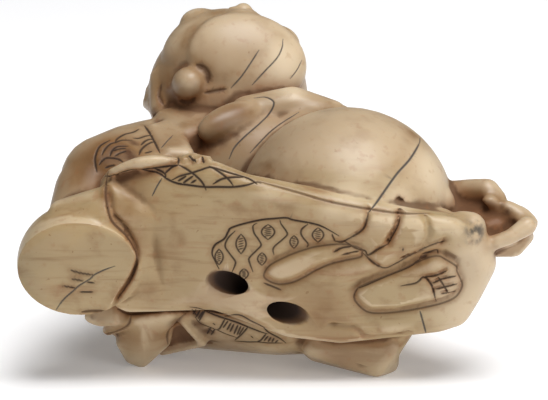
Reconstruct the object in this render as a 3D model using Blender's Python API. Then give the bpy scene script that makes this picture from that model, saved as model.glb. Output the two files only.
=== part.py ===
"""A netsuke: a seated, laughing Hotei with his sack, carved from one piece of ivory.

The figure is carved upright, sitting on its flat underside: x to the viewer's right, y from
the belly to the back, z up to the head. Then it is tipped onto its back, as it lies on a
table with the underside turned to the viewer. All sizes of the carving are shares of WIDTH.
"""

import math

import bmesh
import bpy
import numpy as np
from mathutils import Euler, Matrix, Vector

WIDTH = 0.050
MM = WIDTH / 50
TIP_BACK = 75.0
FINENESS = 0.42
SET_DOWN = (-0.16, -16.6, 14.2)
CORD_RADIUS = 0.00125
CORD_DEPTH = 0.0023
CORD_MOUTHS = ((225, 283), (289, 314))
CORD_ENDS = ((256, 292), (258, 305))
KEPT_SHARE = 0.11

# The view that the carving is drawn in
GRID = 50 / 517
EYE = 260
HIGH = 5.25

# Cuts in the underside
FOOT_NEAR = ((354, 297), (357, 303), (366, 311), (377, 313), (395, 312), (415, 309), (430, 306), (442, 303),
             (452, 299), (458, 294), (462, 286), (461, 280), (457, 271), (456, 266), (447, 260), (439, 256),
             (430, 257), (417, 262), (400, 270), (380, 278), (365, 284), (357, 289))
FOOT_FAR = ((264, 274), (266, 279), (274, 283), (282, 284), (293, 282), (304, 277), (316, 270), (330, 264),
            (346, 260), (360, 257), (362, 253), (360, 248), (343, 241), (319, 244), (303, 248), (287, 254),
            (270, 264))
SLIT_LEFT = ((368, 212), (367, 219), (362, 230), (344, 241), (356, 248), (368, 255), (378, 249), (388, 244))
SLIT_RIGHT = ((400, 217), (397, 227), (392, 236), (388, 244))
ROBE_EDGE = ((363, 253), (374, 263), (385, 268), (397, 263), (409, 256), (420, 251), (428, 240), (429, 231),
             (424, 219))
SLEEVE_CREASE = ((107, 170), (105, 192), (108, 208), (113, 222), (127, 236), (137, 257), (133, 274),
                 (127, 284), (119, 296), (114, 305), (108, 316))
LOW_CREASE = ((330, 325), (355, 328), (366, 338), (392, 337), (410, 334))
UNDERSIDE_CUTS = ((FOOT_NEAR, True, 0.9, 0.6), (FOOT_FAR, True, 0.8, 0.5), (SLIT_LEFT, False, 0.8, 0.5),
                  (SLIT_RIGHT, False, 0.7, 0.8), (ROBE_EDGE, False, 0.8, 0.5), (SLEEVE_CREASE, False, 1.3, 1.6),
                  (LOW_CREASE, False, 0.7, 0.6))


def unit_ball(detail):
    """The points of a ball of radius 1."""
    shape = bmesh.new()
    bmesh.ops.create_icosphere(shape, subdivisions=detail, radius=1)
    points = [vert.co.copy() for vert in shape.verts]
    shape.free()
    return points


BALL_POINTS = unit_ball(3)


def turned(turn):
    return Euler([math.radians(angle) for angle in turn]).to_matrix().to_4x4()


def seen(u, v, z):
    """The point at height z of the carving that shows at place u, v of the photograph, 548 x 400."""
    drop = (v - 200) * GRID
    y = (EYE * (HIGH - z / 2) - (EYE - 3 + 0.866 * z) * drop) / (drop / 2 - 0.866 * EYE)
    near = EYE / (EYE - 3 + 0.866 * z + y / 2)
    return (u - 274) * GRID / near - 0.39, y, z


def beads(*places):
    """Beads at places (u, v, z, radius) of the photograph."""
    return [(*seen(u, v, z), radius) for u, v, z, radius in places]


def ball(stock, centre, radii, turn=(0, 0, 0)):
    """An ellipsoid."""
    place = Matrix.Translation(centre) @ turned(turn) @ Matrix.Diagonal((*radii, 1))
    bmesh.ops.create_icosphere(stock, subdivisions=4, radius=1, matrix=place)


def hull(stock, beads):
    """A skin stretched over beads, each (x, y, z, radius)."""
    shape = bmesh.new()
    for x, y, z, radius in beads:
        for point in BALL_POINTS:
            shape.verts.new(Vector((x, y, z)) + radius * point)
    made = bmesh.ops.convex_hull(shape, input=shape.verts)
    spare = {g for g in made["geom_interior"] + made["geom_unused"] if isinstance(g, bmesh.types.BMVert)}
    bmesh.ops.delete(shape, geom=list(spare), context="VERTS")
    mesh = bpy.data.meshes.new("hull")
    shape.to_mesh(mesh)
    shape.free()
    stock.from_mesh(mesh)
    bpy.data.meshes.remove(mesh)


def roll(stock, beads):
    """A rope of soft clay through beads, each (x, y, z, radius)."""
    for pair in zip(beads, beads[1:]):
        hull(stock, pair)


def head(stock):
    """Bald, thrown back in laughter and turned a little; the ears have long lobes."""
    skull = bmesh.new()
    ball(skull, (0.2, 0.4, 0.2), (8.35, 8.2, 8.0))
    ball(skull, (0, -1.9, -2.2), (7.6, 6.2, 5.7))
    ball(skull, (0, -5.7, -5.0), (2.6, 1.9, 1.8))
    ball(skull, (0.8, -2.0, -6.0), (6.3, 5.0, 2.5))
    roll(skull, [(0, -7.5, 1.2, 0.6), (0, -8.4, -1.2, 1.0)])
    for side in (-1, 1):
        ball(skull, (3.9 * side, -5.6, -2.2), (2.5, 1.9, 2.2))
        ball(skull, (1.0 * side, -8.0, -1.5), (0.8, 0.7, 0.7))
        roll(skull, [(1.2 * side, -7.5, 2.0, 0.45), (3.0 * side, -7.1, 2.6, 0.5), (4.8 * side, -6.1, 1.9, 0.4)])
        ball(skull, (2.9 * side, -6.9, 0.7), (1.5, 0.7, 0.75))
        roll(skull, [(7.2 * side, 0.9, -0.4, 0.8), (7.7 * side, 1.4, 1.4, 0.6), (7.7 * side, 2.8, 1.6, 0.6),
                     (7.3 * side, 3.0, 0.0, 0.7), (6.3 * side, 2.4, -2.4, 0.9), (5.2 * side, 2.0, -4.4, 1.2)])
        ball(skull, (4.5 * side, 1.7, -5.9), (1.8, 1.7, 2.1))
    roll(skull, [(-1.9, -7.0, -3.6, 0.35), (0, -7.5, -3.9, 0.45), (1.9, -7.0, -3.6, 0.35)])
    roll(skull, [(-1.3, -6.9, -4.5, 0.35), (0, -7.2, -4.8, 0.5), (1.3, -6.9, -4.5, 0.35)])
    place = Matrix.Translation((-5.3, -2.8, 28.4)) @ turned((-42, 0, 14))
    bmesh.ops.transform(skull, matrix=place, verts=skull.verts)
    mesh = bpy.data.meshes.new("head")
    skull.to_mesh(mesh)
    skull.free()
    stock.from_mesh(mesh)
    bpy.data.meshes.remove(mesh)


def torso(stock):
    """The bare belly and chest."""
    ball(stock, (6.7, 0.9, 9.7), (10.7, 10.4, 9.8), (-30, 0, 0))
    ball(stock, (-1.5, 0.8, 18.0), (9.0, 6.6, 6.5))
    ball(stock, (-4.2, -5.0, 17.6), (4.5, 2.0, 1.9), (0, -34, 0))
    ball(stock, (3.6, -3.6, 18.0), (6.0, 2.6, 3.2), (0, 6, 0))
    hull(stock, beads((248, 115, 19.5, 2.0), (292, 108, 20.0, 2.2), (330, 119, 19.5, 2.0), (290, 120, 22.0, 2.0)))
    hull(stock, beads((163, 78, 27.0, 1.4), (163, 108, 24.0, 1.4), (185, 108, 25.0, 1.6), (190, 90, 28.0, 2.4)))
    hull(stock, beads((168, 124, 21.5, 1.6), (205, 116, 22.5, 1.6), (186, 140, 17.4, 1.6), (210, 134, 18.4, 1.6)))
    hull(stock, beads((425, 188, 9.5, 2.2), (438, 203, 8.0, 1.7), (395, 205, 7.0, 2.0)))


def robe(stock):
    """The robe over the shoulders, the lap and the knees."""
    hull(stock, beads((113, 187, 4.4, 1.1), (146, 182, 4.2, 1.4), (190, 176, 3.8, 1.3), (212, 174, 3.0, 1.3),
                      (240, 184, 2.0, 1.1), (268, 193, 1.4, 1.0), (265, 298, 1.2, 1.0), (190, 293, 1.4, 1.2),
                      (130, 299, 2.2, 1.3), (126, 235, 2.4, 1.2)))
    hull(stock, beads((111, 194, 3.2, 1.2), (117, 218, 2.2, 1.2), (130, 235, 1.7, 1.1), (142, 258, 1.3, 1.0),
                      (135, 282, 1.3, 1.0), (123, 298, 1.9, 1.1), (150, 215, 2.6, 1.4), (160, 288, 1.8, 1.4)))
    hull(stock, beads((240, 184, 2.0, 1.1), (268, 193, 1.4, 1.0), (331, 213, 0.9, 0.8), (369, 219, 0.7, 0.7),
                      (408, 226, 0.7, 0.7), (450, 227, 1.4, 1.0), (466, 236, 2.8, 1.8), (474, 262, 3.0, 2.2),
                      (462, 290, 2.4, 2.0), (452, 308, 2.2, 1.9), (436, 314, 2.0, 1.8), (395, 318, 1.4, 1.4),
                      (340, 330, 1.2, 1.3), (290, 325, 1.2, 1.2), (200, 293, 1.3, 1.1)))
    hull(stock, beads((140, 188, 6.2, 2.0), (185, 181, 6.0, 1.8), (240, 192, 5.0, 1.6), (300, 206, 4.0, 1.6),
                      (150, 240, 7.0, 3.0), (300, 240, 6.0, 3.0)))
    hull(stock, beads((300, 209, 3.4, 1.6), (370, 220, 3.2, 1.8), (440, 226, 4.0, 1.8), (440, 250, 6.0, 2.0),
                      (300, 240, 6.0, 2.0)))
    hull(stock, [(-13.0, -3.4, 5.6, 3.0), (-12.5, 4.6, 6.0, 3.2), (-4.0, 7.0, 6.0, 3.0), (-3.0, -1.2, 6.0, 3.0),
                 (10.0, 1.6, 6.0, 4.0), (16.4, 3.9, 5.0, 3.4), (15.2, 7.0, 5.6, 3.0), (8.5, 7.6, 6.0, 3.0)])
    ball(stock, (-19.15, 1.65, 1.5), (6.0, 5.3, 6.9))
    hull(stock, beads((100, 238, 1.0, 1.2), (125, 262, 0.8, 1.0), (112, 293, 0.8, 1.0), (88, 300, 1.0, 1.3),
                      (80, 262, 2.0, 2.5)))
    hull(stock, beads((61, 212, 3.6, 1.2), (99, 202, 3.2, 1.4), (108, 214, 1.8, 1.0), (80, 233, 1.2, 1.2),
                      (52, 236, 2.4, 1.4), (80, 215, 5.0, 2.0)))
    hull(stock, [(-19.0, 0.8, 5.0, 3.8), (-18.2, -1.0, 10.0, 3.9), (-15.0, 4.5, 8.0, 5.0)])
    hull(stock, [*beads((108, 182, 12.0, 4.8), (131, 175, 15.5, 5.1)), (-13.0, 4.0, 12.0, 6.0), (-12.0, -1.5, 8.0, 3.6)])
    hull(stock, [*beads((131, 175, 15.5, 5.1)), (-12.5, 0.8, 20.0, 4.3), (-8.0, 3.0, 20.5, 5.0)])
    hull(stock, [(4.8, -0.8, 20.0, 4.7), (9.5, 5.0, 15.0, 5.5), (0.0, 5.0, 20.0, 5.5)])
    hull(stock, [(10.0, 4.0, 15.0, 5.0), (15.0, 4.0, 8.5, 4.0)])
    roll(stock, [(-10.7, -0.2, 22.0, 0.9), (-9.8, 4.8, 23.8, 1.0), (-5.0, 8.0, 25.4, 1.0), (2.5, 6.0, 24.4, 1.0),
                 (5.6, 0.6, 23.4, 0.9)])
    hull(stock, beads((152, 133, 17.0, 0.9), (166, 129, 19.0, 0.9), (169, 156, 12.0, 0.9), (186, 156, 12.0, 0.9),
                      (168, 145, 17.0, 2.0)))


def sack(stock):
    """The full sack that he leans against, gathered towards his left hand."""
    hull(stock, [(-7.5, 10.4, 14.5, 8.2), (6.0, 10.4, 13.5, 8.1), (-1.0, 8.6, 19.5, 7.0), (0.0, 9.0, 9.0, 7.0)])
    hull(stock, [(9.0, 7.5, 13.5, 5.6), (15.5, 2.0, 12.0, 2.4)])
    for rise in (-1.5, -0.5, 0.5, 1.5):
        roll(stock, [(16.0, 2.4, 12.0 + 0.9 * rise, 1.3), (13.6, 9.6, 13.0 + 2.6 * rise, 1.1),
                     (8.0, 16.2 - 1.1 * rise * rise, 14.0 + 4.2 * rise, 1.4),
                     (-1.0, 16.9 - 1.3 * rise * rise, 14.5 + 5.0 * rise, 0.9)])


def underside_cloth(stock):
    """The ends of robe and sack that show behind the underside."""
    hull(stock, beads((90, 317, 3.8, 0.6), (100, 321, 3.6, 0.6), (116, 321, 2.6, 0.5), (116, 300, 4.0, 1.0)))
    hull(stock, beads((108, 330, 4.4, 0.6), (127, 323, 2.8, 0.5), (132, 318, 3.0, 0.6), (126, 306, 5.0, 1.2)))
    hull(stock, beads((122, 341, 4.8, 0.7), (131, 357, 5.2, 0.7), (142, 361, 5.2, 0.7), (150, 354, 5.4, 0.6),
                      (166, 342, 5.0, 0.5), (162, 328, 4.0, 0.5), (170, 311, 2.8, 0.6), (138, 319, 3.2, 0.8)))
    hull(stock, beads((120, 322, 6.5, 1.5), (150, 344, 8.0, 1.0), (162, 348, 7.6, 0.6), (200, 342, 7.0, 0.6),
                      (180, 312, 6.0, 1.5), (140, 300, 6.0, 2.0)))
    roll(stock, beads((178, 311, 3.4, 0.6), (190, 327, 4.4, 0.55), (203, 342, 5.2, 0.5), (185, 346, 6.2, 0.5),
                      (162, 351, 6.6, 0.5)))
    hull(stock, beads((313, 347, 2.6, 1.0), (376, 366, 2.2, 1.1), (390, 345, 2.2, 1.0), (385, 362, 4.4, 1.4),
                      (318, 346, 5.0, 1.6)))
    hull(stock, beads((318, 334, 3.2, 1.3), (400, 328, 3.0, 1.4), (388, 350, 3.6, 1.2), (318, 350, 3.8, 1.2)))
    hull(stock, beads((190, 311, 4.4, 0.8), (205, 312, 3.4, 0.8), (240, 322, 4.0, 0.8), (285, 336, 4.0, 0.8),
                      (300, 332, 5.0, 2.0), (203, 330, 6.0, 0.8), (260, 342, 6.0, 0.8)))


def hands(stock):
    """The right hand rests on the hem, the left holds the mouth of the sack."""
    roll(stock, beads((110, 173, 3.8, 0.35), (122, 168, 3.6, 0.5), (138, 163, 3.6, 0.62), (154, 161, 3.7, 0.62),
                      (168, 161, 3.8, 0.5), (177, 162, 3.8, 0.4)))
    hull(stock, beads((116, 177, 5.0, 1.0), (138, 168, 4.9, 1.0), (176, 167, 4.9, 1.0), (140, 186, 6.0, 2.0),
                      (185, 178, 5.4, 1.6), (114, 186, 5.4, 1.4)))
    for u, v in ((180, 161), (187, 159), (194, 158), (201, 160), (208, 161)):
        ball(stock, seen(u, v, 4.4), (0.42, 0.5, 0.8))
    hull(stock, beads((180, 166, 5.4, 0.8), (208, 166, 4.8, 0.8), (195, 172, 6.0, 1.5)))
    hull(stock, beads((448, 199, 11.0, 1.8), (470, 193, 9.5, 1.4), (487, 191, 8.5, 1.25), (496, 200, 7.8, 1.1),
                      (478, 206, 9.0, 1.5)))
    for u, v in ((490, 200), (495, 204), (499, 208)):
        ball(stock, seen(u, v, 6.6), (0.8, 0.5, 0.6))
    hull(stock, beads((461, 224, 3.4, 1.3), (470, 228, 3.2, 1.6), (471, 236, 3.0, 1.6)))
    hull(stock, beads((448, 204, 10.4, 1.7), (478, 206, 9.2, 1.5), (500, 212, 7.8, 1.0), (518, 218, 6.4, 0.9),
                      (500, 240, 4.9, 1.0), (470, 240, 4.9, 1.8)))
    roll(stock, beads((473, 250, 2.9, 0.75), (490, 244, 2.9, 0.75), (510, 237, 3.1, 0.75), (527, 226, 3.9, 0.95)))
    hull(stock, beads((507, 208, 6.4, 0.8), (522, 216, 5.8, 0.9), (529, 223, 5.0, 0.9), (524, 232, 5.2, 0.8),
                      (510, 214, 6.4, 0.8)))
    hull(stock, beads((490, 247, 5.6, 1.0), (514, 247, 5.6, 1.0), (525, 236, 5.6, 0.9), (490, 236, 5.6, 1.2),
                      (515, 232, 5.6, 0.9)))
    hull(stock, beads((470, 245, 5.0, 1.6), (500, 238, 5.4, 1.2), (520, 228, 5.6, 0.9), (480, 225, 7.0, 2.0)))
    hull(stock, beads((478, 246, 4.2, 1.0), (492, 243, 4.3, 0.9), (510, 238, 4.4, 0.8)))


def path_gap(points, path):
    """How far each point is from a path, both drawn on the underside."""
    gap = np.full(len(points), np.inf)
    for start, end in zip(path[:-1], path[1:]):
        along = end - start
        share = np.clip((points - start) @ along / (along @ along), 0, 1)
        gap = np.minimum(gap, np.linalg.norm(points - start - share[:, None] * along, axis=1))
    return gap


def drawn(path, closed=False):
    """A path of the photograph laid on the underside."""
    places = [seen(u, v, 0)[:2] for u, v in path]
    return np.array(places + places[:1] if closed else places)


def underside_depth(points):
    """How deep the underside is carved at each point."""
    depth = np.zeros(len(points))
    for path, closed, half_width, deep in UNDERSIDE_CUTS:
        gap = path_gap(points, drawn(path, closed))
        depth = np.maximum(depth, deep * np.clip(1 - gap / half_width, 0, 1) ** 1.5)
    return depth


def flatten_underside(mesh):
    """Grind the underside flat, then carve feet, robe edges and creases into it."""
    count = len(mesh.vertices)
    points = np.empty(count * 3)
    mesh.vertices.foreach_get("co", points)
    points = points.reshape(-1, 3)
    facing = np.empty(count * 3)
    mesh.vertex_normals.foreach_get("vector", facing)
    down = np.clip(-facing.reshape(-1, 3)[:, 2] * 2, 0, 1)
    low = points[:, 2] < 3.0
    points[:, 2] = np.maximum(points[:, 2], 0)
    points[low, 2] += underside_depth(points[low, :2]) * down[low]
    mesh.vertices.foreach_set("co", points.ravel())
    mesh.update()


def raw_shape():
    stock = bmesh.new()
    for carve in (head, torso, robe, sack, underside_cloth, hands):
        carve(stock)
    mesh = bpy.data.meshes.new("stock")
    stock.to_mesh(mesh)
    stock.free()
    return mesh


def clay():
    """The forms melted into one skin."""
    figure = bpy.data.objects.new("clay", raw_shape())
    bpy.context.scene.collection.objects.link(figure)
    union = figure.modifiers.new("union", "REMESH")
    union.mode = "VOXEL"
    union.voxel_size = FINENESS
    soft = figure.modifiers.new("soft", "SMOOTH")
    soft.factor = 0.5
    soft.iterations = 3
    mesh = bpy.data.meshes.new_from_object(figure.evaluated_get(bpy.context.evaluated_depsgraph_get()))
    bpy.data.objects.remove(figure)
    flatten_underside(mesh)
    return mesh


def cutter(name, shape):
    mesh = bpy.data.meshes.new(name)
    shape.to_mesh(mesh)
    shape.free()
    mesh.transform(Matrix.Scale(MM, 4))
    tool = bpy.data.objects.new(name, mesh)
    bpy.context.scene.collection.objects.link(tool)
    tool.hide_render = True
    tool.display_type = "WIRE"
    return tool


def cord_cutters():
    """Two slanting drill holes that meet inside and let the cord through."""
    cutters = []
    for name, place, aim in zip(("cord_hole_left", "cord_hole_right"), CORD_MOUTHS, CORD_ENDS):
        mouth = Vector(seen(*place, 0))
        end = Vector((*seen(*aim, 0)[:2], CORD_DEPTH / MM))
        outward = (mouth - end).normalized()
        reach = (mouth - end).length + 4
        spin = outward.to_track_quat("Z", "Y").to_matrix().to_4x4()
        drill = bmesh.new()
        bmesh.ops.create_cone(drill, cap_ends=True, segments=24, radius1=CORD_RADIUS / MM,
                              radius2=CORD_RADIUS / MM, depth=reach + 0.6,
                              matrix=Matrix.Translation(end + outward * (reach - 0.6) / 2) @ spin)
        cutters.append(cutter(name, drill))
    return cutters


def floor_cutter():
    """What lies under the table top; it grinds the resting points flat."""
    slab = bmesh.new()
    bmesh.ops.create_cube(slab, size=1, matrix=Matrix.Translation((0, 0, -5)) @ Matrix.Diagonal((80, 80, 10, 1)))
    return cutter("table_top", slab)


def clear_scene():
    for obj in list(bpy.data.objects):
        bpy.data.objects.remove(obj)


def ivory():
    material = bpy.data.materials.new("ivory")
    material.use_nodes = True
    shader = material.node_tree.nodes["Principled BSDF"]
    shader.inputs["Base Color"].default_value = (0.62, 0.50, 0.35, 1)
    shader.inputs["Roughness"].default_value = 0.32
    return material


def main():
    clear_scene()
    mesh = clay()
    mesh.name = "netsuke"
    mesh.transform(Matrix.Scale(MM, 4))
    mesh.materials.clear()
    mesh.materials.append(ivory())
    mesh.shade_smooth()
    figure = bpy.data.objects.new("netsuke", mesh)
    bpy.context.scene.collection.objects.link(figure)
    figure.rotation_euler.x = -math.radians(TIP_BACK)
    figure.location = Vector(SET_DOWN) * MM
    thin = figure.modifiers.new("fewer_triangles", "DECIMATE")
    thin.ratio = KEPT_SHARE
    tools = cord_cutters()
    for tool in tools:
        tool.matrix_world = Matrix.Translation(figure.location) @ figure.rotation_euler.to_matrix().to_4x4()
    for tool in [*tools, floor_cutter()]:
        cut = figure.modifiers.new(tool.name, "BOOLEAN")
        cut.operation = "DIFFERENCE"
        cut.solver = "EXACT"
        cut.object = tool
    return figure


main()
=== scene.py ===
"""A netsuke: a seated, laughing Hotei with his sack, carved from one piece of ivory.

The figure is carved upright, sitting on its flat underside: x to the viewer's right, y from
the belly to the back, z up to the head, in millimetres. Then it is tipped onto its back, as it
lies on a table with the underside turned to the viewer. Lines, stains and painted light and
shade are drawn in the view of the photograph, in steps of its 548 x 400 grid, and laid on the
carving from there.
"""

import math

import bmesh
import bpy
import numpy as np
from mathutils import Euler, Matrix, Vector
from mathutils.bvhtree import BVHTree
from mathutils.kdtree import KDTree


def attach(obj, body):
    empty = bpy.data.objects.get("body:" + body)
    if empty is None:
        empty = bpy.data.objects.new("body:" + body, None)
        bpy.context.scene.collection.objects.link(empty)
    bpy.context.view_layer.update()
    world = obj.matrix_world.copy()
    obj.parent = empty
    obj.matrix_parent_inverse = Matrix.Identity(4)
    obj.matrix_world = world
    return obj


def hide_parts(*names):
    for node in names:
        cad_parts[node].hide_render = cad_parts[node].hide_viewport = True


MM = 0.001

# How the finished carving lies on the table
TIP_BACK = 75.0
SET_DOWN = (-0.16, -16.6, 14.2)

# How fine the skin is, and how fine it gets under an engraved line and how far beside it
VOXEL = 0.28
SKIN_TRIANGLES = 73000
LINE_STEP = 0.1
LINE_REACH = 0.14
FINER_ROUNDS = 6

# The two cord holes: bore, how deep they meet, where they open and where they aim
CORD_RADIUS = 1.25
CORD_DEPTH = 2.3
CORD_MOUTHS = ((225, 283), (289, 314))
CORD_ENDS = ((256, 292), (258, 305))

# The drill bit: how far it stands out of the mouth and reaches past the inner end, sides, rings
DRILL_OUT = 4
DRILL_PAST = 0.6
DRILL_SIDES = 40
DRILL_RINGS = 20

# What is cut off under the table top
SLAB = (80, 80, 10)

# The view that the carving is drawn in, 30 degrees off its upright axis: the size of a step of
# the grid, the grid's middle, how far the eye is, and how much nearer, higher and further aside
# than the middle of the view the carving's origin lies
CARVING_WIDTH = 50
STEPS_ACROSS = 517
GRID = CARVING_WIDTH / STEPS_ACROSS
MIDDLE = (274, 200)
EYE = 260
NEARER = 3
HIGH = 5.25
ASIDE = 0.39
VIEW_COS = 0.866
VIEW_SIN = 0.5
EYE_PLACE = Vector((-ASIDE, -133.05, -219.94))

# Soles, drawn on the underside: outline, how deep the bed round it is, how wide the rounded rim is
SOLES = (
    (((354, 297), (357, 303), (366, 311), (377, 313), (395, 312), (415, 309), (430, 306), (442, 303),
      (452, 299), (458, 294), (462, 286), (461, 280), (457, 271), (456, 266), (447, 260), (439, 256),
      (430, 257), (417, 262), (400, 270), (380, 278), (365, 284), (357, 289)), 0.75, 1.2),
    (((264, 274), (266, 279), (274, 283), (282, 284), (293, 282), (304, 277), (316, 270), (330, 264),
      (346, 260), (360, 257), (362, 253), (360, 248), (343, 244), (319, 246), (303, 250), (287, 256),
      (270, 265)), 0.6, 1.0),
)

# Creases in the underside: path, half width, depth
CREASES = (
    (((107, 170), (105, 192), (108, 208), (113, 222), (127, 236), (137, 257), (133, 274), (127, 284),
      (119, 296), (114, 305), (108, 316)), 0.45, 0.6),
    (((368, 212), (367, 219), (362, 230), (344, 241), (356, 248), (368, 255), (378, 249),
      (388, 244)), 0.5, 0.4),
    (((400, 217), (397, 227), (392, 236), (388, 244)), 0.7, 0.9),
    (((335, 241), (344, 241)), 0.4, 0.3),
    (((363, 253), (374, 263), (385, 268), (397, 263), (409, 256), (420, 251), (428, 240), (429, 231),
      (424, 219)), 0.5, 0.5),
    (((359, 288), (386, 276), (408, 267), (420, 259), (436, 251), (446, 242)), 0.7, 0.5),
    (((418, 251), (432, 245), (444, 241)), 0.5, 0.4),
    (((330, 325), (355, 328), (366, 337), (392, 337), (410, 334)), 0.5, 0.45),
    (((264, 283), (274, 287), (281, 290)), 0.4, 0.25),
    (((424, 277), (437, 275), (446, 271)), 0.35, 0.4),
    (((433, 283), (442, 279), (456, 276)), 0.35, 0.4),
    (((436, 289), (444, 287), (457, 284)), 0.35, 0.4),
    (((441, 294), (448, 293), (455, 291)), 0.35, 0.4),
    (((424, 278), (431, 284), (434, 293), (436, 301)), 0.35, 0.3),
    (((334, 252), (341, 248), (352, 246)), 0.3, 0.3),
    (((342, 255), (350, 253), (359, 251)), 0.3, 0.3),
)

# Cuts: half width and depth in mm, and how much ink is in them; then the depths of stained
# cuts and cracks, how grey the cracks are, and how far the stain spreads beside a cut
EDGE_CUT = (0.11, 0.1, 0.95)
WAVE_CUT = (0.09, 0.08, 0.9)
LEAF_CUT = (0.09, 0.06, 0.9)
HATCH_CUT = (0.07, 0.04, 0.85)
FOOT_CUT = (0.1, 0.1, 0.85)
SOLE_CUT = (0.09, 0.05, 0.6)
ROBE_CUT = (0.1, 0.08, 0.8)
LATTICE_CUT = (0.115, 0.08, 0.95)
SLEEVE_CUT = (0.12, 0.06, 0.9)
BAND_CUT = (0.1, 0.06, 0.95)
DISC_CUT = (0.1, 0.05, 0.9)
STAIN_DEPTH = 0.12
CRACK_DEPTH = 0.05
CRACK_SHARE = 0.95
HALO_REACH = 0.45

# The pattern on the robe: its edge, its wavy lines, and its leaves as middle and half sizes
PATTERN_EDGE = ((219, 269), (215, 261), (212, 253), (215, 245), (224, 239), (228, 232), (231, 228),
                (243, 224), (261, 220), (270, 219), (286, 218), (293, 220), (314, 224), (325, 228),
                (339, 236))
WAVY_LINES = (
    ((235, 231), (228, 238), (225, 246), (229, 253), (235, 261), (235, 265), (232, 272)),
    ((257, 223), (253, 226), (254, 233), (258, 239), (261, 245), (257, 250), (250, 257), (249, 261),
     (253, 272)),
    ((280, 220), (281, 224), (286, 231), (287, 235), (282, 240), (275, 246), (273, 250), (274, 255)),
    ((308, 224), (302, 229), (301, 234), (304, 239), (308, 244), (307, 247)),
    ((332, 234), (333, 237), (335, 241)),
)
LEAVES = ((219, 257, 4, 8), (241, 244, 5, 10), (268, 232, 6.5, 7.6), (318, 235, 5.6, 7.4), (294, 242, 4, 6.5),
          (262, 259, 4.3, 6.5), (244, 274, 4.3, 5.4))

# Toes and folds of the feet, the robe's edges, and the lattice, waves and knots of hem and sleeve
FOOT_LINES = (
    ((401, 286), (416, 283), (424, 277), (431, 284), (434, 293), (436, 301)),
    ((424, 277), (437, 275), (446, 271)), ((433, 283), (442, 279), (456, 276)),
    ((436, 289), (444, 287), (457, 284)), ((441, 294), (448, 293), (455, 291)),
    ((438, 277), (444, 286), (448, 293)), ((359, 288), (386, 276), (408, 267), (420, 259)),
    ((334, 252), (341, 248), (352, 246)), ((342, 255), (350, 253), (359, 251)),
)
ROBE_LINES = (
    ((368, 213), (367, 219), (362, 230), (344, 241), (335, 241)), ((403, 248), (403, 251)),
    ((344, 241), (356, 248), (365, 251), (368, 255), (378, 249), (388, 244)),
    ((388, 244), (392, 236), (397, 227), (400, 217)),
    ((363, 253), (374, 263), (385, 268), (397, 263), (409, 256), (420, 251)),
    ((418, 251), (432, 245), (444, 241)), ((422, 254), (436, 250), (438, 253)),
    ((264, 283), (274, 287), (281, 290)),
)
LATTICE_LINES = (
    ((143, 170), (150, 171), (156, 172), (162, 175), (167, 179), (176, 183), (188, 185), (204, 187),
     (218, 187), (234, 187), (247, 185), (256, 182), (261, 183)),
    ((147, 168), (156, 169), (164, 173), (166, 177)), ((164, 174), (172, 167), (178, 165)),
    ((179, 165), (185, 168), (192, 173), (199, 179), (203, 184), (206, 190)),
    ((172, 180), (180, 176), (191, 173), (200, 170), (210, 167), (218, 171), (228, 179), (234, 187)),
    ((209, 166), (228, 172), (248, 178), (257, 184)), ((249, 178), (256, 183)),
    ((213, 184), (222, 179), (234, 177), (244, 177)),
    ((178, 181), (186, 176)), ((183, 183), (193, 176)), ((191, 183), (196, 180)),
)
SLEEVE_LINES = (
    ((97, 172), (95, 161), (96, 154), (99, 147), (104, 143), (110, 140)),
    ((102, 155), (105, 149), (110, 144), (116, 142), (122, 140), (132, 140)),
    ((115, 142), (118, 138), (125, 134), (133, 132), (139, 129)),
    ((110, 156), (112, 151), (116, 147), (121, 146), (128, 146)),
    ((113, 151), (118, 149), (126, 148)), ((115, 156), (120, 153), (126, 151)),
    ((99, 165), (102, 161), (106, 158), (112, 158), (118, 159), (123, 162)),
    ((105, 168), (110, 166), (115, 165)),
    ((133, 138), (139, 138), (145, 136), (151, 135)), ((141, 145), (145, 141), (150, 139), (154, 140)),
    ((139, 155), (141, 150), (146, 145), (152, 142), (156, 142)), ((145, 153), (152, 151)),
    ((144, 125), (149, 132), (154, 141), (160, 153)),
)
CUFF_LINES = (
    ((105, 176), (110, 176), (118, 174), (131, 170), (145, 169), (162, 167), (177, 165)),
    ((178, 157), (179, 160), (178, 164)), ((189, 157), (193, 160), (196, 163)), ((202, 158), (204, 163)),
)
KNOTS = ((174, 160), (184, 160), (191, 158), (196, 161), (201, 159), (208, 161))
KNOT_RADIUS = 0.34
KNOT_RISE = 0.8

# The brocade band that shows behind the underside
BAND_LINES = (
    ((190, 307), (197, 308), (205, 310), (217, 312), (227, 314)),
    ((205, 311), (221, 317), (236, 322), (248, 327), (261, 332), (268, 334)),
    ((225, 316), (239, 315), (251, 321), (263, 327), (268, 332), (279, 338), (286, 343)),
    ((205, 310), (199, 321)), ((225, 319), (220, 328), (217, 330)), ((248, 327), (242, 334), (235, 340)),
    ((266, 334), (261, 340), (257, 342)),
    ((195, 317), (200, 323), (209, 327), (217, 330), (226, 334), (238, 338)),
    ((235, 341), (248, 342), (257, 342), (269, 343), (282, 343)),
    ((228, 321), (223, 328)), ((231, 323), (227, 330)), ((234, 324), (230, 332)), ((238, 325), (234, 334)),
    ((241, 326), (237, 335)), ((244, 327), (239, 335)),
    ((268, 336), (264, 341)), ((271, 337), (268, 342)), ((274, 338), (272, 342)), ((278, 340), (275, 343)),
    ((208, 328), (214, 333)), ((211, 327), (207, 334)), ((215, 329), (211, 335)),
    ((192, 309), (196, 315)), ((196, 309), (193, 314)), ((200, 310), (196, 317)), ((203, 311), (198, 319)),
    ((213, 323), (215, 325)), ((251, 336), (253, 338)),
)

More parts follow.
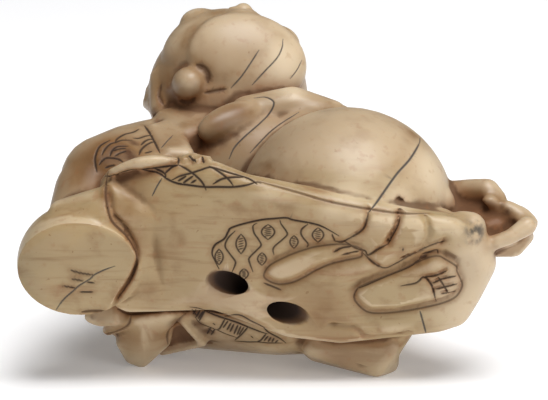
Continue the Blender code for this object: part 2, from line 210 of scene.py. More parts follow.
# Cuts with brown stain in them: half width in mm, stain, path
STAIN_LINES = (
    (0.16, 0.8, ((108, 172), (106, 182), (106, 194), (108, 208), (113, 222), (127, 236), (136, 252),
                 (137, 262), (132, 276), (126, 286), (118, 298))),
    (0.16, 0.8, ((118, 309), (127, 313), (136, 313), (150, 312), (173, 311), (190, 311))),
    (0.14, 0.7, ((82, 312), (92, 311), (104, 311))),
    (0.14, 0.7, ((131, 316), (128, 325), (118, 331), (104, 335))),
    (0.14, 0.6, ((186, 313), (176, 323), (168, 333), (168, 344))),
    (0.3, 0.75, ((197, 65), (204, 68), (208, 74), (208, 82))), (0.2, 0.6, ((161, 85), (159, 95), (163, 104))),
    (0.25, 0.6, ((180, 101), (189, 102), (195, 98))), (0.18, 0.7, ((205, 93), (215, 91), (226, 89))),
    (0.12, 0.6, ((258, 181), (280, 187), (301, 193), (320, 199), (341, 204), (370, 209), (400, 213),
                 (430, 213))),
    (0.14, 0.6, ((400, 258), (412, 254), (424, 250))), (0.22, 0.8, ((420, 258), (426, 256))),
)

# Rows of plain strokes where the disc is marked
DISC_STROKES = (
    ((70, 270), (80, 273), (93, 275)), ((72, 279), (83, 281)), ((87, 282), (94, 283)),
    ((63, 286), (75, 288)), ((80, 292), (93, 292)),
)

# Cracks: half width in mm, path
CRACKS = (
    (0.115, ((420, 138), (419, 144), (410, 159), (396, 175), (379, 199), (369, 212))),
    (0.09, ((254, 98), (265, 97), (273, 101), (273, 107), (268, 115), (260, 123), (252, 130), (242, 139),
            (234, 148), (229, 159))),
    (0.07, ((299, 112), (283, 122), (271, 131), (260, 142), (250, 153))),
    (0.075, ((259, 50), (250, 64), (241, 77), (231, 88))),
    (0.075, ((283, 39), (282, 48), (277, 58), (266, 70), (252, 85))),
    (0.06, ((302, 60), (297, 70), (290, 79))), (0.07, ((173, 135), (167, 141), (161, 148))),
    (0.09, ((420, 311), (423, 322), (426, 333))),
    (0.08, ((115, 266), (104, 270), (94, 275), (90, 279), (80, 285), (73, 291), (65, 298),
            (60, 304), (56, 310))),
    (0.07, ((366, 105), (376, 110))), (0.07, ((162, 178), (157, 186), (154, 192), (152, 196))),
)

# Soft patches, u, v, reach, amount: pale where the ivory is worn, with painted light and highlights
# on the side the lamp falls on; darker where the ivory has aged, with painted shade on the side turned
# away from the light
PALE_AND_LIT_PATCHES = (
    (287, 60, 30, 0.9), (290, 90, 16, 0.6), (187, 84, 10, 0.7), (432, 172, 34, 0.85), (350, 195, 26, 0.6),
    (400, 200, 16, 0.6), (400, 210, 20, 0.5), (478, 280, 34, 0.85), (470, 255, 20, 0.5), (440, 315, 24, 0.35),
    (340, 358, 24, 0.4), (234, 124, 15, 0.85), (440, 292, 12, 0.5), (445, 190, 20, 0.6), (330, 212, 14, 0.4),
    (380, 222, 14, 0.4), (518, 222, 10, 0.3), (496, 190, 10, 0.4), (140, 208, 8, 0.4), (462, 308, 20, 0.5),
)
AGED_AND_SHADED_PATCHES = (
    (165, 80, 36, 0.6), (180, 105, 24, 0.6), (205, 70, 30, 0.5), (222, 125, 36, 0.75), (130, 335, 22, 0.4),
    (325, 300, 22, 0.3), (95, 165, 46, 0.8), (120, 145, 30, 0.5), (175, 140, 24, 0.35), (270, 150, 50, 0.25),
    (300, 130, 40, 0.15), (150, 220, 40, 0.3), (190, 280, 50, 0.25), (300, 300, 60, 0.3), (240, 110, 16, 0.5),
    (70, 260, 40, 0.2), (140, 340, 30, 0.35), (340, 360, 30, 0.45), (480, 200, 20, 0.7), (495, 220, 18, 0.85),
    (200, 150, 16, 0.6), (340, 150, 60, 0.12), (250, 200, 60, 0.12), (420, 260, 14, 0.5), (470, 210, 10, 0.5),
    (107, 195, 9, 0.7), (137, 240, 12, 0.4), (135, 185, 20, 0.45), (120, 210, 14, 0.4), (160, 250, 14, 0.3),
    (150, 290, 20, 0.3), (225, 300, 20, 0.35), (200, 300, 14, 0.3), (330, 318, 30, 0.3), (100, 320, 10, 0.5),
    (118, 326, 10, 0.4), (120, 340, 8, 0.3), (160, 335, 14, 0.5), (465, 198, 14, 0.6), (482, 208, 12, 0.7),
    (500, 222, 14, 0.7), (350, 352, 40, 0.4), (388, 350, 14, 0.5), (475, 275, 30, 0.25),
)

# Brown spots: u, v, reach, amount, the first of them painted shade in the dark hole by the left fist;
# and the grey smudge on the knee with its reach in mm
BROWN_SPOTS = (
    (507, 212, 4, 0.95), (502, 206, 3, 0.6), (129, 152, 7, 1.0), (134, 143, 6, 0.9), (131, 157, 7, 1.0),
    (112, 150, 7, 0.4), (118, 158, 7, 0.4), (105, 160, 7, 0.4), (150, 148, 7, 0.35), (122, 146, 7, 0.4),
    (197, 313, 7, 0.8), (199, 324, 8, 0.9), (207, 331, 8, 0.9), (233, 329, 7, 0.45), (272, 339, 6, 0.4),
    (360, 365, 3, 0.6), (380, 354, 3, 0.5), (92, 317, 3, 0.6), (96, 313, 3, 0.5), (426, 256, 4, 0.7),
    (417, 262, 4, 0.5), (174, 322, 8, 0.6), (183, 338, 6, 0.6), (222, 142, 5, 0.5), (236, 135, 3, 0.8),
    (210, 148, 6, 0.5), (205, 153, 4, 0.6),
)
SMUDGE = (475, 231)
SMUDGE_REACH = 1.3

# Where the yellow of the underside ends upwards and to the right, each with the width of its
# edge, and how deep into the cord holes the painted shade turns fully dark
TAN_TOP = (7, 6)
TAN_RIGHT = (21, 5)
BORE_DARK = 1.1

# How hollows and sheltered places are measured
HOLLOW_STEPS = (5, 16)
HOLLOW_GAIN = 9
SHELTER_RAYS = 12
SHELTER_REACH = 4.0
SHELTER_START = 0.03
RAY_TURN = 2.4

# Colours of the ivory, from bare to deeply stained
CREAM = (0.37, 0.265, 0.16, 1)
IVORY_WHITE = (0.62, 0.50, 0.345, 1)
HONEY = (0.35, 0.22, 0.105, 1)
STRAW = (0.36, 0.265, 0.135, 1)
RUST = (0.26, 0.10, 0.035, 1)
TEA = (0.17, 0.075, 0.018, 1)
BROWN = (0.08, 0.033, 0.012, 1)
BURNT = (0.05, 0.02, 0.007, 1)
DARK = (0.018, 0.008, 0.004, 1)
SLATE = (0.045, 0.04, 0.037, 1)

# Roughness of clean ivory, how much rougher it is in hollows and cuts, its gloss, and how much,
# in which colours and how deep light spreads under the surface
POLISHED = 0.38
MATT_GAIN = 0.5
GLOSS = 0.35
SPREAD = 0.15
SPREAD_COLOURS = (1.0, 0.6, 0.35)
SPREAD_DEPTH = 0.0012

# Table, lights (name, place, size, power), the air's own light, lens and how far the camera tips
TABLE_HALF = 3
TABLE_WHITE = (0.94, 0.94, 0.95, 1)
TABLE_ROUGHNESS = 0.8
TABLE_GLOW = 0.16
LIGHTS = (
    ("key", (0.13, -0.20, 0.73), 0.45, 7.0),
    ("fill", (0.45, -0.50, 0.25), 0.5, 1.8),
)
LIT_PLACE = (0, 0, 0.015)
WORLD_COLOUR = (0.95, 0.96, 1.0, 1)
WORLD_LIGHT = 0.07
LENS = 176.6
LOOK_DOWN = 15


def unit_ball(detail):
    """The points of a ball of radius 1."""
    shape = bmesh.new()
    bmesh.ops.create_icosphere(shape, subdivisions=detail, radius=1)
    points = [vert.co.copy() for vert in shape.verts]
    shape.free()
    return points


BALL_POINTS = unit_ball(3)


def turned(turn):
    """The rotation by three angles in degrees."""
    return Euler([math.radians(angle) for angle in turn]).to_matrix().to_4x4()


def seen(u, v, z):
    """The point at height z of the carving that shows at place u, v of the photograph, 548 x 400."""
    drop = (v - MIDDLE[1]) * GRID
    away = EYE - NEARER + VIEW_COS * z
    y = (EYE * (HIGH - VIEW_SIN * z) - away * drop) / (VIEW_SIN * drop - VIEW_COS * EYE)
    near = EYE / (away + VIEW_SIN * y)
    return (u - MIDDLE[0]) * GRID / near - ASIDE, y, z


def beads(*places):
    """Beads at places (u, v, z, radius) of the photograph."""
    return [(*seen(u, v, z), radius) for u, v, z, radius in places]


def ball(stock, centre, radii, turn=(0, 0, 0)):
    """An ellipsoid."""
    place = Matrix.Translation(centre) @ turned(turn) @ Matrix.Diagonal((*radii, 1))
    bmesh.ops.create_icosphere(stock, subdivisions=4, radius=1, matrix=place)


def melt_in(stock, shape):
    """Add a shape to the stock."""
    mesh = bpy.data.meshes.new("form")
    shape.to_mesh(mesh)
    shape.free()
    stock.from_mesh(mesh)
    bpy.data.meshes.remove(mesh)


def hull(stock, string):
    """A skin stretched over a string of beads, each (x, y, z, radius)."""
    shape = bmesh.new()
    for x, y, z, radius in string:
        for point in BALL_POINTS:
            shape.verts.new(Vector((x, y, z)) + radius * point)
    made = bmesh.ops.convex_hull(shape, input=shape.verts)
    spare = {g for g in made["geom_interior"] + made["geom_unused"] if isinstance(g, bmesh.types.BMVert)}
    bmesh.ops.delete(shape, geom=list(spare), context="VERTS")
    melt_in(stock, shape)


def roll(stock, string):
    """A rope of soft clay through a string of beads, each (x, y, z, radius)."""
    for pair in zip(string, string[1:]):
        hull(stock, pair)


def head(stock):
    """Bald, thrown back in laughter and turned a little; the ears have long lobes."""
    skull = bmesh.new()
    ball(skull, (0.2, 0.4, 0.2), (8.35, 8.2, 8.0))
    ball(skull, (0, -1.9, -2.2), (7.6, 6.2, 5.7))
    ball(skull, (0, -5.7, -5.0), (2.6, 1.9, 1.8))
    ball(skull, (0.8, -2.0, -6.0), (6.3, 5.0, 2.5))
    roll(skull, [(0, -7.5, 1.2, 0.6), (0, -8.4, -1.2, 1.0)])
    for side in (-1, 1):
        ball(skull, (3.9 * side, -5.6, -2.2), (2.5, 1.9, 2.2))
        ball(skull, (1.0 * side, -8.0, -1.5), (0.8, 0.7, 0.7))
        roll(skull, [(1.2 * side, -7.5, 2.0, 0.45), (3.0 * side, -7.1, 2.6, 0.5),
                     (4.8 * side, -6.1, 1.9, 0.4)])
        ball(skull, (2.9 * side, -6.9, 0.7), (1.5, 0.7, 0.75))
        roll(skull, [(7.2 * side, 0.9, -0.4, 0.8), (7.7 * side, 1.4, 1.4, 0.6), (7.7 * side, 2.8, 1.6, 0.6),
                     (7.3 * side, 3.0, 0.0, 0.7), (6.3 * side, 2.4, -2.4, 0.9), (5.2 * side, 2.0, -4.4, 1.2)])
        ball(skull, (4.5 * side, 1.7, -5.9), (1.8, 1.7, 2.1))
    roll(skull, [(-1.9, -7.0, -3.6, 0.35), (0, -7.5, -3.9, 0.45), (1.9, -7.0, -3.6, 0.35)])
    roll(skull, [(-1.3, -6.9, -4.5, 0.35), (0, -7.2, -4.8, 0.5), (1.3, -6.9, -4.5, 0.35)])
    place = Matrix.Translation((-5.3, -2.8, 28.4)) @ turned((-42, 0, 14))
    bmesh.ops.transform(skull, matrix=place, verts=skull.verts)
    melt_in(stock, skull)


def torso(stock):
    """The bare belly and chest."""
    ball(stock, (6.7, 0.9, 9.7), (10.7, 10.4, 9.8), (-30, 0, 0))
    ball(stock, (-1.5, 0.8, 18.0), (9.0, 6.6, 6.5))
    ball(stock, (-4.2, -5.0, 17.6), (4.5, 2.0, 1.9), (0, -34, 0))
    ball(stock, (3.6, -3.6, 18.0), (6.0, 2.6, 3.2), (0, 6, 0))
    hull(stock, beads((248, 115, 19.5, 2.0), (292, 108, 20.0, 2.2), (330, 119, 19.5, 2.0),
                      (290, 120, 22.0, 2.0)))
    hull(stock, beads((163, 78, 27.0, 1.4), (163, 108, 24.0, 1.4), (185, 108, 25.0, 1.6),
                      (190, 90, 28.0, 2.4)))
    hull(stock, beads((168, 124, 21.5, 1.6), (205, 116, 22.5, 1.6), (186, 140, 17.4, 1.6),
                      (210, 134, 18.4, 1.6)))
    hull(stock, beads((425, 188, 9.5, 2.2), (438, 203, 8.0, 1.7), (395, 205, 7.0, 2.0)))


def robe(stock):
    """The robe over the shoulders, the lap and the knees."""
    hull(stock, beads((113, 187, 4.4, 1.1), (146, 182, 4.2, 1.4), (190, 176, 3.8, 1.3), (212, 174, 3.0, 1.3),
                      (240, 184, 2.0, 1.1), (268, 193, 1.4, 1.0), (265, 298, 1.2, 1.0), (190, 293, 1.4, 1.2),
                      (130, 299, 2.2, 1.3), (126, 235, 2.4, 1.2)))
    hull(stock, beads((111, 194, 3.2, 1.2), (117, 218, 2.2, 1.2), (130, 235, 1.7, 1.1), (142, 258, 1.3, 1.0),
                      (135, 282, 1.3, 1.0), (123, 298, 1.9, 1.1), (150, 215, 2.6, 1.4), (160, 288, 1.8, 1.4)))
    hull(stock, beads((240, 184, 2.0, 1.1), (268, 193, 1.4, 1.0), (331, 213, 0.9, 0.8), (369, 219, 0.7, 0.7),
                      (408, 226, 0.7, 0.7), (450, 227, 1.4, 1.0), (466, 236, 2.8, 1.8), (474, 262, 3.0, 2.2),
                      (462, 290, 2.4, 2.0), (452, 308, 2.2, 1.9), (436, 314, 2.0, 1.8), (395, 318, 1.4, 1.4),
                      (340, 330, 1.2, 1.3), (290, 325, 1.2, 1.2), (200, 293, 1.3, 1.1)))
    hull(stock, beads((140, 188, 6.2, 2.0), (185, 181, 6.0, 1.8), (240, 192, 5.0, 1.6), (300, 206, 4.0, 1.6),
                      (150, 240, 7.0, 3.0), (300, 240, 6.0, 3.0)))
    hull(stock, beads((300, 209, 3.4, 1.6), (370, 220, 3.2, 1.8), (440, 226, 4.0, 1.8), (440, 250, 6.0, 2.0),
                      (300, 240, 6.0, 2.0)))
    hull(stock, [(-13.0, -3.4, 5.6, 3.0), (-12.5, 4.6, 6.0, 3.2), (-4.0, 7.0, 6.0, 3.0),
                 (-3.0, -1.2, 6.0, 3.0), (10.0, 1.6, 6.0, 4.0), (16.4, 3.9, 5.0, 3.4),
                 (15.2, 7.0, 5.6, 3.0), (8.5, 7.6, 6.0, 3.0)])
    ball(stock, (-19.15, 1.65, 1.5), (6.0, 5.3, 6.9))
    hull(stock, beads((100, 238, 1.0, 1.2), (125, 262, 0.8, 1.0), (112, 293, 0.8, 1.0), (88, 300, 1.0, 1.3),
                      (80, 262, 2.0, 2.5)))
    hull(stock, beads((61, 212, 3.6, 1.2), (99, 202, 3.2, 1.4), (108, 214, 1.8, 1.0), (80, 233, 1.2, 1.2),
                      (52, 236, 2.4, 1.4), (80, 215, 5.0, 2.0)))
    hull(stock, [(-19.0, 0.8, 5.0, 3.8), (-18.2, -1.0, 10.0, 3.9), (-15.0, 4.5, 8.0, 5.0)])
    hull(stock, [*beads((108, 182, 12.0, 4.8), (131, 175, 15.5, 5.1)),
                 (-13.0, 4.0, 12.0, 6.0), (-12.0, -1.5, 8.0, 3.6)])
    hull(stock, [*beads((131, 175, 15.5, 5.1)), (-12.5, 0.8, 20.0, 4.3), (-8.0, 3.0, 20.5, 5.0)])
    hull(stock, [(4.8, -0.8, 20.0, 4.7), (9.5, 5.0, 15.0, 5.5), (0.0, 5.0, 20.0, 5.5)])
    hull(stock, [(10.0, 4.0, 15.0, 5.0), (15.0, 4.0, 8.5, 4.0)])
    roll(stock, [(-10.7, -0.2, 22.0, 0.9), (-9.8, 4.8, 23.8, 1.0), (-5.0, 8.0, 25.4, 1.0),
                 (2.5, 6.0, 24.4, 1.0), (5.6, 0.6, 23.4, 0.9)])
    hull(stock, beads((152, 133, 17.0, 0.9), (166, 129, 19.0, 0.9), (169, 156, 12.0, 0.9),
                      (186, 156, 12.0, 0.9), (168, 145, 17.0, 2.0)))


def sack(stock):
    """The full sack that he leans against, gathered towards his left hand."""
    hull(stock, [(-7.5, 10.4, 14.5, 8.2), (6.0, 10.4, 13.5, 8.1), (-1.0, 8.6, 19.5, 7.0),
                 (0.0, 9.0, 9.0, 7.0)])
    hull(stock, [(9.0, 7.5, 13.5, 5.6), (15.5, 2.0, 12.0, 2.4)])
    for rise in (-1.5, -0.5, 0.5, 1.5):
        roll(stock, [(16.0, 2.4, 12.0 + 0.9 * rise, 1.3), (13.6, 9.6, 13.0 + 2.6 * rise, 1.1),
                     (8.0, 16.2 - 1.1 * rise * rise, 14.0 + 4.2 * rise, 1.4),
                     (-1.0, 16.9 - 1.3 * rise * rise, 14.5 + 5.0 * rise, 0.9)])


def underside_cloth(stock):
    """The ends of robe and sack that show behind the underside."""
    hull(stock, beads((90, 317, 3.8, 0.6), (100, 321, 3.6, 0.6), (116, 321, 2.6, 0.5), (116, 300, 4.0, 1.0)))
    hull(stock, beads((108, 330, 4.4, 0.6), (127, 323, 2.8, 0.5), (132, 318, 3.0, 0.6), (126, 306, 5.0, 1.2)))
    hull(stock, beads((122, 341, 4.8, 0.7), (131, 357, 5.2, 0.7), (142, 361, 5.2, 0.7), (150, 354, 5.4, 0.6),
                      (166, 342, 5.0, 0.5), (162, 328, 4.0, 0.5), (170, 311, 2.8, 0.6), (138, 319, 3.2, 0.8)))
    hull(stock, beads((120, 322, 6.5, 1.5), (150, 344, 8.0, 1.0), (162, 348, 7.6, 0.6), (200, 342, 7.0, 0.6),
                      (180, 312, 6.0, 1.5), (140, 300, 6.0, 2.0)))
    roll(stock, beads((178, 311, 3.4, 0.6), (190, 327, 4.4, 0.55), (203, 342, 5.2, 0.5), (185, 346, 6.2, 0.5),
                      (162, 351, 6.6, 0.5)))
    hull(stock, beads((313, 347, 2.6, 1.0), (376, 366, 2.2, 1.1), (390, 345, 2.2, 1.0), (385, 362, 4.4, 1.4),
                      (318, 346, 5.0, 1.6)))
    hull(stock, beads((318, 334, 3.2, 1.3), (400, 328, 3.0, 1.4), (388, 350, 3.6, 1.2), (318, 350, 3.8, 1.2)))
    hull(stock, beads((190, 311, 4.4, 0.8), (205, 312, 3.4, 0.8), (240, 322, 4.0, 0.8), (285, 336, 4.0, 0.8),
                      (300, 332, 5.0, 2.0), (203, 330, 6.0, 0.8), (260, 342, 6.0, 0.8)))


def hands(stock):
    """The right hand rests on the hem, the left holds the mouth of the sack."""
    roll(stock, beads((110, 173, 3.8, 0.35), (122, 168, 3.6, 0.5), (138, 163, 3.6, 0.62),
                      (154, 161, 3.7, 0.62), (168, 161, 3.8, 0.5), (177, 162, 3.8, 0.4)))
    hull(stock, beads((116, 177, 5.0, 1.0), (138, 168, 4.9, 1.0), (176, 167, 4.9, 1.0), (140, 186, 6.0, 2.0),
                      (185, 178, 5.4, 1.6), (114, 186, 5.4, 1.4)))
    for u, v in ((180, 161), (187, 159), (194, 158), (201, 160), (208, 161)):
        ball(stock, seen(u, v, 4.4), (0.42, 0.5, 0.8))
    hull(stock, beads((180, 166, 5.4, 0.8), (208, 166, 4.8, 0.8), (195, 172, 6.0, 1.5)))
    hull(stock, beads((448, 199, 11.0, 1.8), (470, 193, 9.5, 1.4), (487, 191, 8.5, 1.25),
                      (496, 200, 7.8, 1.1), (478, 206, 9.0, 1.5)))
    for u, v in ((490, 200), (495, 204), (499, 208)):
        ball(stock, seen(u, v, 6.6), (0.8, 0.5, 0.6))
    hull(stock, beads((461, 224, 3.4, 1.3), (470, 228, 3.2, 1.6), (471, 236, 3.0, 1.6)))
    hull(stock, beads((448, 204, 10.4, 1.7), (478, 206, 9.2, 1.5), (500, 212, 7.8, 1.0), (518, 218, 6.4, 0.9),
                      (500, 240, 4.9, 1.0), (470, 240, 4.9, 1.8)))
    roll(stock, beads((473, 250, 2.9, 0.75), (490, 244, 2.9, 0.75), (510, 237, 3.1, 0.75),
                      (527, 226, 3.9, 0.95)))
    hull(stock, beads((507, 208, 6.4, 0.8), (522, 216, 5.8, 0.9), (529, 223, 5.0, 0.9), (524, 232, 5.2, 0.8),
                      (510, 214, 6.4, 0.8)))
    hull(stock, beads((490, 247, 5.6, 1.0), (514, 247, 5.6, 1.0), (525, 236, 5.6, 0.9), (490, 236, 5.6, 1.2),
                      (515, 232, 5.6, 0.9)))
    hull(stock, beads((470, 245, 5.0, 1.6), (500, 238, 5.4, 1.2), (520, 228, 5.6, 0.9), (480, 225, 7.0, 2.0)))
    hull(stock, beads((478, 246, 4.2, 1.0), (492, 243, 4.3, 0.9), (510, 238, 4.4, 0.8)))


def raw_shape():
    """All forms of the figure in one mesh, not yet melted together."""
    stock = bmesh.new()
    for carve in (head, torso, robe, sack, underside_cloth, hands):
        carve(stock)
    mesh = bpy.data.meshes.new("stock")
    stock.to_mesh(mesh)
    stock.free()
    return mesh


def eased(path, closed=False, step=0.4):
    """A smooth path through places u, v, sampled every step of the photograph's grid."""
    places = np.array(path, float)
    if closed:
        places = np.vstack([places[-1], places, places[:2]])
    else:
        places = np.vstack([2 * places[0] - places[1], places, 2 * places[-1] - places[-2]])
    samples = []
    for before, start, end, after in zip(places, places[1:], places[2:], places[3:]):
        count = max(2, int(np.linalg.norm(end - start) / step))
        for t in np.arange(count) / count:
            samples.append(0.5 * (2 * start + (end - before) * t
                                  + (2 * before - 5 * start + 4 * end - after) * t * t
                                  + (3 * start - before - 3 * end + after) * t ** 3))
    return np.array([*samples, places[-2]])


def drawn(path, closed=False):
    """A smooth path laid on the underside."""
    return np.array([seen(u, v, 0)[:2] for u, v in eased(path, closed, 2.0)])


def path_gap(points, path):
    """How far each point is from a path, both on the underside."""
    gap = np.full(len(points), np.inf)
    for start, end in zip(path[:-1], path[1:]):
        along = end - start
        share = np.clip((points - start) @ along / (along @ along), 0, 1)
        gap = np.minimum(gap, np.linalg.norm(points - start - share[:, None] * along, axis=1))
    return gap


def inside(points, outline):
    """Which points lie inside an outline."""
    within = np.zeros(len(points), bool)
    for (x0, y0), (x1, y1) in zip(outline, np.roll(outline, -1, axis=0)):
        crosses = (points[:, 1] > y0) != (points[:, 1] > y1)
        side = points[:, 0] < (x1 - x0) * (points[:, 1] - y0) / (y1 - y0 + 1e-12) + x0
        within ^= crosses & side
    return within


def underside_depth(points):
    """How deep the underside is carved at each point."""
    depth = np.zeros(len(points))
    for path, half_width, deep in CREASES:
        gap = path_gap(points, drawn(path))
        depth = np.maximum(depth, deep * np.clip(1 - gap / half_width, 0, 1) ** 1.5)
    for outline, bed, rim in SOLES:
        path = drawn(outline, closed=True)
        gap = path_gap(points, path)
        reach = np.where(inside(points, path), rim, 2.2 * rim)
        depth = np.maximum(depth, bed * np.clip(1 - gap / reach, 0, 1) ** 2)
    return depth


def corners(mesh):
    """The places of the mesh's points."""
    points = np.empty(len(mesh.vertices) * 3)
    mesh.vertices.foreach_get("co", points)
    return points.reshape(-1, 3)


def facing(mesh):
    """The normals at the mesh's points."""
    normals = np.empty(len(mesh.vertices) * 3)
    mesh.vertex_normals.foreach_get("vector", normals)
    return normals.reshape(-1, 3)


def put_corners(mesh, points):
    """Move the mesh's points to new places."""
    mesh.vertices.foreach_set("co", points.ravel())
    mesh.update()


def flatten_underside(mesh):
    """Grind the underside flat, then carve feet, robe edges and creases into it."""
    points = corners(mesh)
    down = np.clip(-facing(mesh)[:, 2] * 2, 0, 1)
    low = points[:, 2] < 3.0
    points[:, 2] = np.maximum(points[:, 2], 0)
    points[low, 2] += underside_depth(points[low, :2]) * down[low]
    put_corners(mesh, points)


def modified(mesh, *modifiers):
    """The mesh with modifiers (type, settings) applied."""
    figure = bpy.data.objects.new("work", mesh)
    bpy.context.scene.collection.objects.link(figure)
    for kind, settings in modifiers:
        modifier = figure.modifiers.new(kind, kind)
        for name, value in settings.items():
            setattr(modifier, name, value)
    done = bpy.data.meshes.new_from_object(figure.evaluated_get(bpy.context.evaluated_depsgraph_get()))
    bpy.data.objects.remove(figure)
    return done


def cord_axis(place, aim):
    """The mouth and the inner end of one slanting drill hole."""
    return Vector(seen(*place, 0)), Vector((*seen(*aim, 0)[:2], CORD_DEPTH))


def drill(mouth, end):
    """A drill bit from just past the inner end out through the mouth of a cord hole."""
    outward = (mouth - end).normalized()
    reach = (mouth - end).length + DRILL_OUT
    spin = outward.to_track_quat("Z", "Y").to_matrix().to_4x4()
    middle = Matrix.Translation(end + outward * (reach - DRILL_PAST) / 2)
    bit = bmesh.new()
    bmesh.ops.create_cone(bit, cap_ends=True, segments=DRILL_SIDES, radius1=CORD_RADIUS, radius2=CORD_RADIUS,
                          depth=reach + DRILL_PAST, matrix=middle @ spin)
    flutes = [edge for edge in bit.edges if edge.calc_length() > CORD_RADIUS]
    bmesh.ops.subdivide_edges(bit, edges=flutes, cuts=DRILL_RINGS)
    return bit


def lying_place():
    """How the upright carving is tipped onto its back and set down on the table."""
    return Matrix.Translation(SET_DOWN) @ Matrix.Rotation(-math.radians(TIP_BACK), 4, "X")


def table_slab():
    """What lies under the table top, in the carving's own frame."""
    place = lying_place().inverted() @ Matrix.Translation((0, 0, -SLAB[2] / 2)) @ Matrix.Diagonal((*SLAB, 1))
    slab = bmesh.new()
    bmesh.ops.create_cube(slab, size=1, matrix=place)
    return slab


def cut_away(mesh, shapes):
    """Cut shapes out of the mesh."""
    tools = []
    for shape in shapes:
        tool_mesh = bpy.data.meshes.new("tool")
        shape.to_mesh(tool_mesh)
        shape.free()
        tool = bpy.data.objects.new("tool", tool_mesh)
        bpy.context.scene.collection.objects.link(tool)
        tools.append(tool)
    cuts = [("BOOLEAN", {"operation": "DIFFERENCE", "solver": "EXACT", "object": tool}) for tool in tools]
    done = modified(mesh, *cuts)
    for tool in tools:
        bpy.data.objects.remove(tool)
    return done


def carved_skin():
    """The forms melted into one skin, carved underneath, drilled and ground where it rests."""
    mesh = modified(raw_shape(), ("REMESH", {"mode": "VOXEL", "voxel_size": VOXEL}),
                    ("SMOOTH", {"factor": 0.5, "iterations": 4}))
    flatten_underside(mesh)
    mesh = modified(mesh, ("DECIMATE", {"ratio": SKIN_TRIANGLES / (2 * len(mesh.vertices))}))
    drills = [drill(*cord_axis(place, aim)) for place, aim in zip(CORD_MOUTHS, CORD_ENDS)]
    return cut_away(mesh, [*drills, table_slab()])


class Drawing:
    """Lines laid on the skin from the photograph's view: a row of places and what is cut at each."""

    def __init__(self, mesh):
        shape = bmesh.new()
        shape.from_mesh(mesh)
        self.skin = BVHTree.FromBMesh(shape)
        shape.free()
        self.places = []
        self.cuts = []

    def on_skin(self, u, v):
        """The point of the skin that shows at place u, v."""
        aim = (Vector(seen(u, v, 0)) - EYE_PLACE).normalized()
        return self.skin.ray_cast(EYE_PLACE, aim)[0]

    def add(self, path, half_width, depth, ink=0.0, stain=0.0, crack=0.0, closed=False):
        """Lay a line on the skin; an open one thins out towards its ends."""
        samples = eased(path, closed)
        count = len(samples)
        for number, (u, v) in enumerate(samples):
            place = self.on_skin(u, v)
            if place is None:
                continue
            end = min(number, count - 1 - number) / max(4, 0.15 * count)
            thin = 1.0 if closed else 0.45 + 0.55 * min(1, end)
            self.places.append(place)
            self.cuts.append((half_width * thin, depth * thin, ink, stain, crack))

    def add_all(self, paths, cut):
        """Lay a group of lines that are all cut alike."""
        for path in paths:
            self.add(path, *cut)


def leaf(u, v, across, tall):
    """Outline and hatches of one leaf of the robe's pattern."""
    sides = []
    for side in (-1, 1):
        sides.append([(u + side * across * math.sin(math.pi * t / 6), v - tall + tall * t / 3)
                      for t in range(7)])
    hatches = []
    for row in (-2, -1, 0, 1, 2):
        hatches.append([(u - across * 0.55, v + tall * (0.25 * row + 0.05)),
                        (u + across * 0.5, v + tall * (0.25 * row - 0.1))])
    return sides, hatches


def draw_everything(drawing):
    """Lay every line of the carving on the skin."""
    drawing.add(PATTERN_EDGE, *EDGE_CUT)
    drawing.add_all(WAVY_LINES, WAVE_CUT)
    for place in LEAVES:
        sides, hatches = leaf(*place)
        drawing.add_all(sides, LEAF_CUT)
        drawing.add_all(hatches, HATCH_CUT)
    drawing.add_all(FOOT_LINES, FOOT_CUT)
    for outline, _, _ in SOLES:
        drawing.add(outline, *SOLE_CUT, closed=True)
    drawing.add_all(ROBE_LINES, ROBE_CUT)
    drawing.add_all(LATTICE_LINES + CUFF_LINES, LATTICE_CUT)
    drawing.add_all(SLEEVE_LINES, SLEEVE_CUT)
    drawing.add_all(BAND_LINES, BAND_CUT)
    for half_width, stain, path in STAIN_LINES:
        drawing.add(path, half_width, STAIN_DEPTH, stain=stain)
    drawing.add_all(DISC_STROKES, DISC_CUT)
    for half_width, path in CRACKS:
        drawing.add(path, half_width, CRACK_DEPTH, crack=CRACK_SHARE)


def finer_near(mesh, tree):
    """Split the skin's edges near drawn lines until they can hold the lines."""
    shape = bmesh.new()
    shape.from_mesh(mesh)
    bmesh.ops.triangulate(shape, faces=shape.faces)
    for _ in range(FINER_ROUNDS):
        gaps = [tree.find(vert.co)[2] for vert in shape.verts]
        long_edges = []
        for edge in shape.edges:
            length = edge.calc_length()
            gap = min(gaps[vert.index] for vert in edge.verts)
            if length > LINE_STEP and gap < LINE_REACH + 0.75 * length:
                middle = (edge.verts[0].co + edge.verts[1].co) / 2
                if tree.find(middle)[2] < LINE_REACH + max(0.4 * length, 0.52 * length - 0.1):
                    long_edges.append(edge)
        if not long_edges:
            break
        bmesh.ops.subdivide_edges(shape, edges=long_edges, cuts=1)
        bmesh.ops.triangulate(shape, faces=[face for face in shape.faces if len(face.verts) > 3])
        shape.verts.index_update()
    shape.to_mesh(mesh)
    shape.free()


